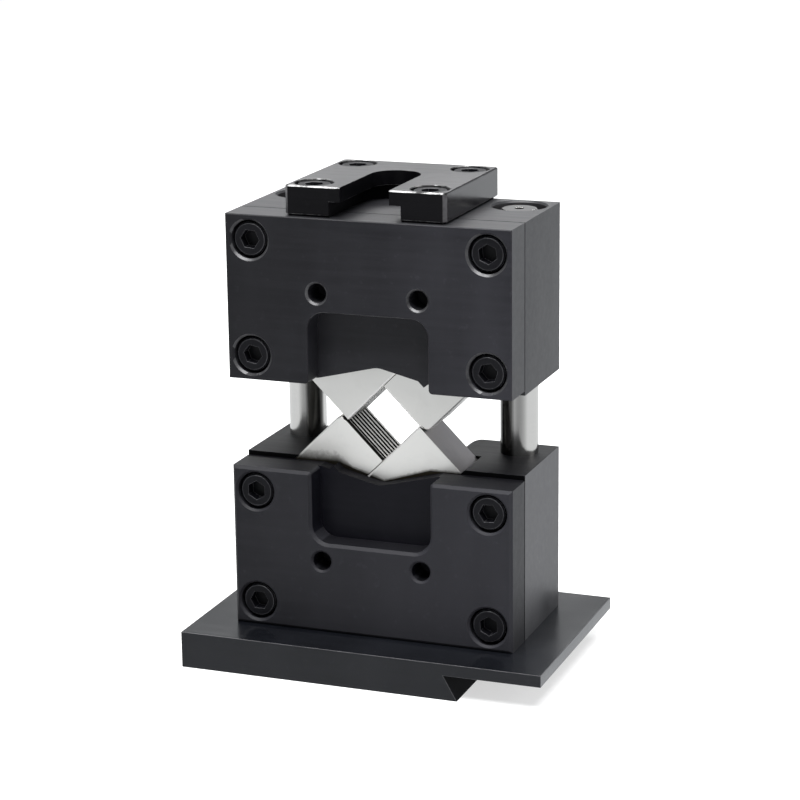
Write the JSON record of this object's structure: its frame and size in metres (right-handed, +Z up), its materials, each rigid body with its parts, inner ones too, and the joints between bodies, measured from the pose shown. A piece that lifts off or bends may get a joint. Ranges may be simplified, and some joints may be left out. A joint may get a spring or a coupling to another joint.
{
  "type": "crimping die set",
  "caption": "Two-post crimping die set with sliding and fixed ribbed jaws that close a square opening as the slotted upper block comes down.",
  "frame": {"origin": "middle of the base plate in plan, at the underside of its tongue", "axes": "X to the right and Y to the rear as seen from the side with the recessed front plates, +Z up along the guide posts"},
  "size_m": [0.1766, 0.1114, 0.2278],
  "materials": {
    "block_steel": "blackened, matt, faint grinding marks",
    "plate_steel": "blackened, matt",
    "base_steel": "blackened, matt with a bluish sheen on top",
    "ram_plate_steel": "blackened, glossier, bright worn edges",
    "jaw_steel": "ground, satin",
    "post_steel": "ground and polished",
    "screw_steel": "black oxide",
    "spring_steel": "drawn wire",
    "bush_bronze": "turned bronze"
  },
  "bodies": {
    "lower_block": {"base_plate": "base_steel", "base_screws": "screw_steel", "lower_housing": "block_steel", "lower_front_plate": "plate_steel", "lower_plate_screws": "screw_steel", "lower_dowel_pins": "post_steel", "guide_post_left": "post_steel", "guide_post_right": "post_steel", "post_screws": "screw_steel", "lower_fixed_jaw": "jaw_steel", "lower_fixed_jaw_screws": "screw_steel", "lower_key_pin": "post_steel", "lower_jaw_spring": "spring_steel"},
    "upper_block": {"upper_housing": "block_steel", "upper_front_plate": "plate_steel", "upper_plate_screws": "screw_steel", "upper_dowel_pins": "post_steel", "guide_bush_left": "bush_bronze", "guide_bush_right": "bush_bronze", "upper_fixed_jaw": "jaw_steel", "upper_fixed_jaw_screws": "screw_steel", "upper_key_pin": "post_steel", "upper_jaw_spring": "spring_steel", "ram_plate": "ram_plate_steel", "ram_plate_screws": "screw_steel"},
    "lower_slider": {"lower_sliding_jaw": "jaw_steel"},
    "upper_slider": {"upper_sliding_jaw": "jaw_steel"}
  },
  "joints": [
    {"name": "ram_stroke", "type": "slide", "parent": "lower_block", "child": "upper_block", "axis": [0, 0, -1], "range_m": [0, 0.018], "stiffness_N_per_m": 4000, "springref_m": -0.035},
    {"name": "lower_jaw_slide", "type": "slide", "parent": "lower_block", "child": "lower_slider", "axis": [-0.7071, 0, -0.7071], "range_m": [0, 0.01277], "deforming": ["lower_jaw_spring"]},
    {"name": "upper_jaw_slide", "type": "slide", "parent": "upper_block", "child": "upper_slider", "axis": [0.7071, 0, 0.7071], "range_m": [0, 0.01277], "deforming": ["upper_jaw_spring"]}
  ],
  "couplings": [
    {"joint": "lower_jaw_slide", "follows": "ram_stroke", "ratio": 0.70711},
    {"joint": "upper_jaw_slide", "follows": "ram_stroke", "ratio": 0.70711}
  ]
}
